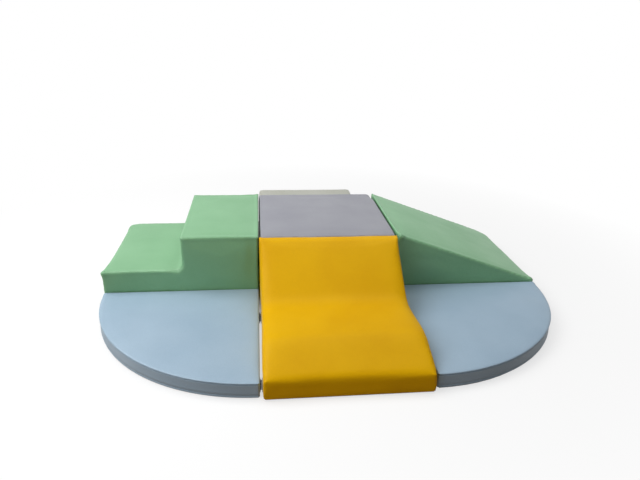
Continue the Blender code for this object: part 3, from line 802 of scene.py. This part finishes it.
def stitch_row(bm, start, end, height, slot):
    """A row of thread stitches on a flat piece, each a little arch half sunk in it."""
    start, end = Vector(start), Vector(end)
    along = (end - start).normalized()
    across = Vector((-along.y, along.x, 0))
    count = max(int((end - start).length / STITCH_PITCH), 1)
    for i in range(count):
        middle = start + (end - start) * ((i + 0.5) / count)
        rings = []
        for shift, rise in ((-0.5, -0.3), (-0.25, 0.6), (0.25, 0.6), (0.5, -0.3)):
            spot = middle + along * shift * STITCH
            section = ((-1, rise - 1), (1, rise - 1), (0.5, rise), (-0.5, rise))
            rings.append([bm.verts.new(spot + across * THREAD * a
                                       + Vector((0, 0, height + THREAD * b)))
                          for a, b in section])
        for first, second in zip(rings, rings[1:]):
            for j in range(4):
                k = (j + 1) % 4
                face = bm.faces.new((first[j], first[k], second[k], second[j]))
                face.material_index = slot
        for ring in (rings[0][::-1], rings[-1]):
            bm.faces.new(ring).material_index = slot


def piece_of(name, bm, place, finishes, body, node):
    """Make a detailed piece that stands for a CAD node and moves with its body."""
    bmesh.ops.recalc_face_normals(bm, faces=bm.faces)
    mesh = bpy.data.meshes.new(name)
    bm.to_mesh(mesh)
    bm.free()
    mesh.transform(place)
    for finish in finishes:
        mesh.materials.append(finish)
    thing = bpy.data.objects.new(name, mesh)
    bpy.context.scene.collection.objects.link(thing)
    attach(thing, body)
    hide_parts(node)


def detailed_zip(name):
    """A module's zip: two tapes with their beads and stitches, the meshed teeth and two stops."""
    node = f"{name}_zip"
    place, length, _, height = on_wall(node, name)
    half, tape, chain = length / 2, TAPE_WIDTH / 2, height - TAPE_THICKNESS
    bm = bmesh.new()
    for side in (-1, 1):
        block(bm, (0, side * (tape + SLIT) / 2, TAPE_THICKNESS / 2),
              (length, tape - SLIT, TAPE_THICKNESS), 0, 0.0002)
        block(bm, (0, side * BEAD_OFF, TAPE_THICKNESS + 0.0002),
              (length - 2 * BEAD_MARGIN, BEAD_WIDTH, BEAD_HEIGHT), 0, 0.0003)
        for lane in STITCH_LANES:
            stitch_row(bm, (-half + STITCH_MARGIN, side * lane, 0),
                       (half - STITCH_MARGIN, side * lane, 0), TAPE_THICKNESS, 2)
    teeth = int((length - 2 * CHAIN_MARGIN) / TOOTH_PITCH)
    for i in range(teeth):
        side = 1 if i % 2 else -1
        x = -half + CHAIN_MARGIN + i * TOOTH_PITCH
        block(bm, (x, side * TOOTH_SHIFT, TAPE_THICKNESS + chain / 2 - 0.0001), (*TOOTH, chain), 1,
              0.0005)
    for end in (-1, 1):
        block(bm, (end * (half - STOP_INSET), 0, TAPE_THICKNESS + 0.0007), STOP, 1, 0.0004)
    piece_of(f"{name}_toothed_zip", bm, place, (tape_weave, moulded_teeth, sewing_thread), name,
             node)


for name in modules:
    detailed_zip(name)


# Zip sliders: die-cast zinc bodies with a bridge, which run on the teeth to close the slit. They
# have no pull tab, as on covers for small children.

TUMBLE_MARK = 1 / 900    # the marks are about 0.3 mm wide, drawn about 1.1 mm wide to show


def zinc():
    """Die-cast zinc: satin grey metal with fine tumbling marks."""
    made, tree, shader, place = new_material("tumbled die-cast zinc")
    marks = add(tree, "ShaderNodeTexNoise",
                {"Vector": place, "Scale": 1 / TUMBLE_MARK, "Detail": 4})
    tone = add(tree, "ShaderNodeMixRGB",
               {0: marks.outputs[0], 1: linear("7C7F83"), 2: linear("A4A7AB")})
    gloss = add(tree, "ShaderNodeMapRange", {0: marks.outputs[0], 3: 0.25, 4: 0.45})
    bump = add(tree, "ShaderNodeBump", {"Height": marks.outputs[0], "Distance": 0.00003})
    tree.links.new(tone.outputs[0], shader.inputs["Base Color"])
    tree.links.new(gloss.outputs[0], shader.inputs["Roughness"])
    tree.links.new(bump.outputs[0], shader.inputs["Normal"])
    shader.inputs["Metallic"].default_value = 1
    return made


zinc_metal = zinc()
for name in modules:
    frame["nodes"][f"{name}_zip_slider"].data.materials[0] = zinc_metal


# Hook strips and loop strips: woven nylon tape with a field of stiff hooks or of soft loops inside
# a plain selvedge, sewn on the covers' walls with a row of stitches all round.

SELVEDGE = 0.0022
STRIP_TAPE = 0.0010
PILE_PITCH = 0.0022      # hooks and loops stand about 1.5 mm apart, drawn a little coarser to show
PILE_CLEAR = 0.0001      # the pile ends this far short of the strip's full thickness
LOOP_WANDER = 0.0004

hook_nylon = nylon("moulded nylon hooks", "0E0E0F", "2A2A2C", 0.0016, 0.45, 0.0003)
loop_nylon = nylon("brushed nylon loops", "131315", "303034", 0.0009, 0.95, 0.0005)


def pile_strip(node, body, hooks):
    """A strip with its pile: hooks in rows, or loops that lie about."""
    place, length, width, thickness = on_wall(node, body)
    bm = bmesh.new()
    block(bm, (0, 0, STRIP_TAPE / 2), (length, width, STRIP_TAPE), 0, 0.0002)
    field = (length - 2 * SELVEDGE, width - 2 * SELVEDGE)
    columns, rows = (max(int(side / PILE_PITCH), 2) for side in field)
    chance = np.random.default_rng(len(node))
    grid = []
    for i in range(columns + 1):
        line = []
        for j in range(rows + 1):
            x, y = (i / columns - 0.5) * field[0], (j / rows - 0.5) * field[1]
            rim = i in (0, columns) or j in (0, rows)
            lift = 1.0 if (i + j) % 2 else 0.62
            if not hooks:
                lift = chance.uniform(0.7, 1.0)
                x += chance.uniform(-LOOP_WANDER, LOOP_WANDER)
                y += chance.uniform(-LOOP_WANDER, LOOP_WANDER)
            height = STRIP_TAPE + (thickness - PILE_CLEAR - STRIP_TAPE) * lift
            line.append(bm.verts.new((x, y, STRIP_TAPE * 0.6 if rim else height)))
        grid.append(line)
    for first, second in zip(grid, grid[1:]):
        for j in range(rows):
            bm.faces.new((first[j], second[j], second[j + 1], first[j + 1])).material_index = 1
    rim = [e for e in bm.edges if e.is_boundary]
    bmesh.ops.contextual_create(bm, geom=rim, mat_nr=1)
    a, b = length / 2 - SELVEDGE * 0.55, width / 2 - SELVEDGE * 0.55
    corners = ((-a, -b, 0), (a, -b, 0), (a, b, 0), (-a, b, 0))
    for start, end in zip(corners, corners[1:] + corners[:1]):
        stitch_row(bm, start, end, STRIP_TAPE, 2)
    pile = hook_nylon if hooks else loop_nylon
    piece_of(f"{node}_sewn", bm, place, (tape_weave, pile, sewing_thread), body, node)


for body, members in frame["record"]["behaviour"]["bodies"].items():
    for node in members:
        if "_hook_" in node or "_loop_" in node:
            pile_strip(node, body, "_hook_" in node)


# Floor, lights and camera: a plain white floor, soft light from the upper left as from a window,
# and the camera at the photograph's place.

FLOOR = 15               # from the middle of the platform to the floor's edges
floor_corners = [(-FLOOR, -FLOOR, 0), (FLOOR, -FLOOR, 0), (FLOOR, FLOOR, 0), (-FLOOR, FLOOR, 0)]
floor_mesh = bpy.data.meshes.new("floor")
floor_mesh.from_pydata(floor_corners, [], [(0, 1, 2, 3)])
floor = bpy.data.objects.new("floor", floor_mesh)
bpy.context.scene.collection.objects.link(floor)


def seen_white(tree):
    """1 for the rays that show the background, and 0 for the rays that light the object."""
    rays = add(tree, "ShaderNodeLightPath").outputs
    seen = add(tree, "ShaderNodeMath", {0: rays["Is Camera Ray"], 1: rays["Is Glossy Ray"]},
               operation="MAXIMUM")
    return add(tree, "ShaderNodeMath", {0: seen.outputs[0], 1: rays["Is Transmission Ray"]},
               operation="MAXIMUM").outputs[0]


white_floor, tree, shader, place = new_material("white floor")
floor_mesh.materials.append(white_floor)
seen = seen_white(tree)
# Painted shade on the floor: its white glow is left out within 0.3 m of the set's middle and rises
# with the distance, to full white from 1.6 m, so the floor under and beside the set is darker.
away = add(tree, "ShaderNodeVectorMath", {0: place}, operation="LENGTH")
beside = add(tree, "ShaderNodeMapRange",
             {0: away.outputs["Value"], 1: 0.30, 2: 0.45, 3: 0, 4: 0.65})
far = add(tree, "ShaderNodeMapRange", {0: away.outputs["Value"], 1: 0.75, 2: 1.6, 3: 0, 4: 0.35})
white = add(tree, "ShaderNodeMath", {0: beside.outputs[0], 1: far.outputs[0]}, operation="ADD")
share = add(tree, "ShaderNodeMath", {0: seen, 1: white.outputs[0]}, operation="MULTIPLY")
tone = add(tree, "ShaderNodeMixRGB", {0: seen, 1: linear("8A6C52"), 2: linear("FAFAFA")})
matt = add(tree, "ShaderNodeBsdfDiffuse", {"Color": tone.outputs[0]})
glow = add(tree, "ShaderNodeEmission", {"Color": (1, 1, 1, 1), "Strength": 1})
both = add(tree, "ShaderNodeMixShader",
           {0: share.outputs[0], 1: matt.outputs[0], 2: glow.outputs[0]})
tree.links.new(both.outputs[0], tree.nodes["Material Output"].inputs["Surface"])

world = bpy.data.worlds.new("white room")
bpy.context.scene.world = world
world.use_nodes = True
tree = world.node_tree
level = add(tree, "ShaderNodeMapRange", {0: seen_white(tree), 3: 0.20, 4: 1.0})
tree.nodes["Background"].inputs["Color"].default_value = (1, 1, 1, 1)
tree.links.new(level.outputs[0], tree.nodes["Background"].inputs["Strength"])


LIT_SPOT = (0, -0.1, 0.1)


def soft_light(name, place, size, power):
    """A square soft light that faces the middle of the set."""
    lamp = bpy.data.lights.new(name, "AREA")
    lamp.size = size
    lamp.energy = power
    made = bpy.data.objects.new(name, lamp)
    bpy.context.scene.collection.objects.link(made)
    made.location = place
    toward = Vector(LIT_SPOT) - Vector(place)
    made.rotation_euler = toward.to_track_quat("-Z", "Y").to_euler()


soft_light("window light", (-1.9, -0.1, 2.5), 2.2, 70)
soft_light("side light", (-2.2, -1.9, 1.2), 1.2, 14)
soft_light("ceiling light", (0.5, 0.3, 3.0), 2.0, 28)

CAMERA_PLACE = (-0.2265, -1.8643, 0.9032)
YAW, PITCH, ROLL = 6.85, 22.46, 1.64
camera_data = bpy.data.cameras.new("camera")
camera_data.lens = 30.652
camera_data.sensor_width = 36
camera = bpy.data.objects.new("camera", camera_data)
bpy.context.scene.collection.objects.link(camera)
yaw, pitch, roll = math.radians(YAW), math.radians(PITCH), math.radians(ROLL)
ahead = Vector((math.sin(yaw) * math.cos(pitch), math.cos(yaw) * math.cos(pitch), -math.sin(pitch)))
right = Vector((math.cos(yaw), -math.sin(yaw), 0))
up = right.cross(ahead)
rolled_right = right * math.cos(roll) + up * math.sin(roll)
rolled_up = up * math.cos(roll) - right * math.sin(roll)
turn = Matrix((rolled_right, rolled_up, -ahead)).transposed().to_4x4()
camera.matrix_world = Matrix.Translation(CAMERA_PLACE) @ turn
bpy.context.scene.camera = camera
bpy.context.scene.view_settings.view_transform = "Standard"
